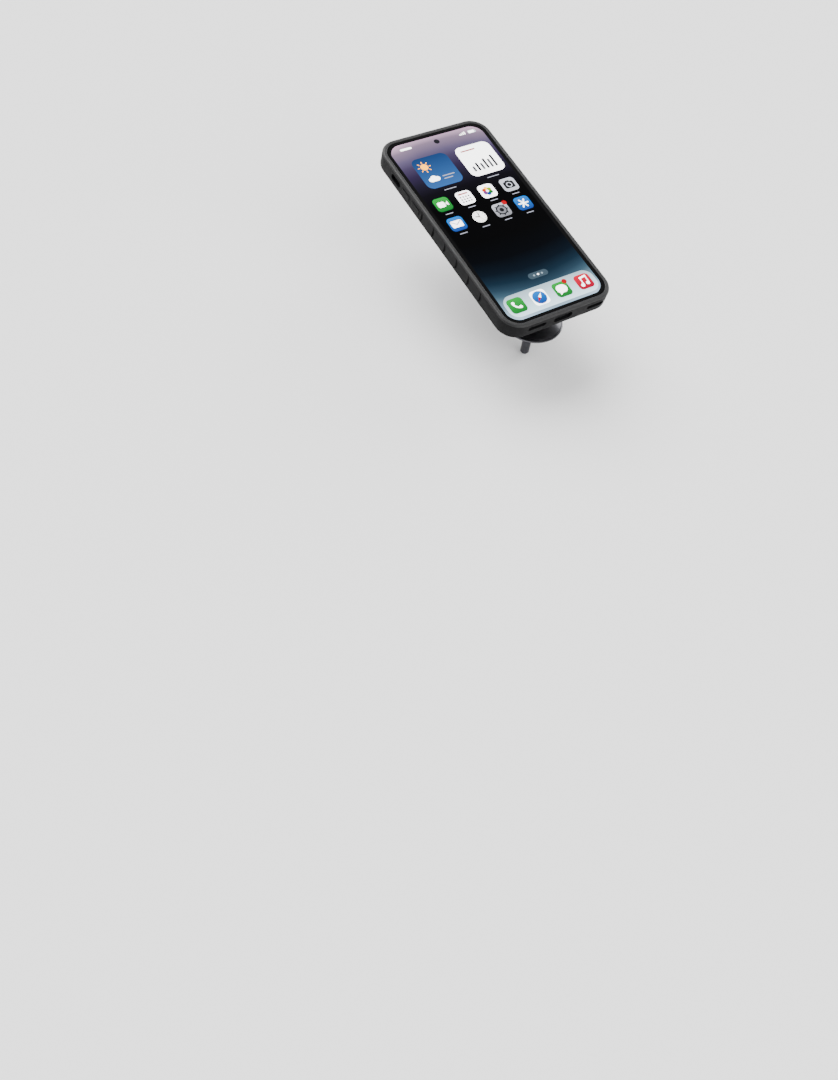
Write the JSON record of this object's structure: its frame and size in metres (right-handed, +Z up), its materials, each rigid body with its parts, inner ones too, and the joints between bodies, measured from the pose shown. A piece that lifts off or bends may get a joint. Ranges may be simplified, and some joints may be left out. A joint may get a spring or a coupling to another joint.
{
  "type": "phone mount",
  "caption": "Bicycle stem-cap phone mount with a tilting arm and quarter-turn head holding a cased phone.",
  "frame": {"origin": "centre of the cap's seat on top of the stem, on the steerer's axis", "axes": "+Z up along the steerer, +Y forward in the direction of travel, +X to the rider's right"},
  "size_m": [0.0828, 0.1644, 0.0804],
  "materials": {
    "cap_black": "glossy black anodised",
    "seal_rubber": "matt",
    "bolt_steel": "satin",
    "spring_steel": "satin",
    "washer_polymer": "matt",
    "arm_black": "bead-blasted black anodised",
    "head_grey": "satin anodised",
    "collar_grey": "satin anodised",
    "shell_black": "fine matt texture",
    "bumper_grey": "soft satin",
    "button_grey": "soft satin",
    "lining_grey": "short microfibre nap",
    "socket_black": "moulded, slightly glossy",
    "rail_metal": "satin anodised",
    "back_glass": "frosted, opaque",
    "front_glass": "polished, opaque black border",
    "screen": "polished, lit",
    "lens_ring": "satin anodised",
    "lens_glass": "coated, polished",
    "flash_white": "diffusing",
    "port_steel": "satin"
  },
  "bodies": {
    "cap": {"stem_cap": "cap_black", "cap_seal_ring": "seal_rubber", "stem_bolt": "bolt_steel", "stem_bolt_washer": "bolt_steel", "pivot_bolt": "bolt_steel", "pivot_nut": "bolt_steel", "friction_washers": "washer_polymer"},
    "arm": {"tilt_arm": "arm_black", "twist_head": "head_grey", "head_screws": "bolt_steel", "collar_springs": "spring_steel"},
    "collar": {"release_collar": "collar_grey"},
    "case": {"case_shell": "shell_black", "case_bumper": "bumper_grey", "case_lining": "lining_grey", "twist_socket": "socket_black", "socket_screws": "bolt_steel", "camera_guard": "bumper_grey"},
    "volume_up": {"volume_up_button": "button_grey"},
    "volume_down": {"volume_down_button": "button_grey"},
    "side": {"side_button": "button_grey"},
    "phone": {"phone_body": "rail_metal", "phone_back_glass": "back_glass", "phone_cover_glass": "front_glass", "phone_display": "screen", "phone_front_camera": "front_glass", "phone_camera_island": "back_glass", "phone_camera_rings": "lens_ring", "phone_camera_lenses": "lens_glass", "phone_flash": "flash_white", "phone_touch_pads": "rail_metal", "phone_port": "port_steel"},
    "mute": {"phone_mute_switch": "rail_metal"}
  },
  "joints": [
    {"name": "arm_tilt", "type": "hinge", "parent": "cap", "child": "arm", "pos_m": [0, 0.009, 0.013], "axis": [1, 0, 0], "range_deg": [-8.5, 21.5]},
    {"name": "collar_pull", "type": "slide", "parent": "arm", "child": "collar", "axis": [0, 0.1478, -0.989], "range_m": [0, 0.0018], "stiffness_N_per_m": 900, "springref_m": -0.002, "deforming": ["collar_springs"]},
    {"name": "case_twist", "type": "hinge", "parent": "arm", "child": "case", "pos_m": [0, 0.0588, 0.02044], "axis": [0, -0.1478, 0.989], "range_deg": [0, 90]},
    {"name": "volume_up_press", "type": "slide", "parent": "case", "child": "volume_up", "axis": [1, 0, 0], "range_m": [0, 0.0004], "stiffness_N_per_m": 1500, "springref_m": -0.0003},
    {"name": "volume_down_press", "type": "slide", "parent": "case", "child": "volume_down", "axis": [1, 0, 0], "range_m": [0, 0.0004], "stiffness_N_per_m": 1500, "springref_m": -0.0003},
    {"name": "side_press", "type": "slide", "parent": "case", "child": "side", "axis": [-1, 0, 0], "range_m": [0, 0.0004], "stiffness_N_per_m": 1500, "springref_m": -0.0003},
    {"name": "phone_lift", "type": "slide", "parent": "case", "child": "phone", "axis": [0, -0.1478, 0.989], "range_m": [0, 0.03]},
    {"name": "mute_slide", "type": "slide", "parent": "phone", "child": "mute", "axis": [0, 0.1478, -0.989], "range_m": [0, 0.0012]}
  ]
}
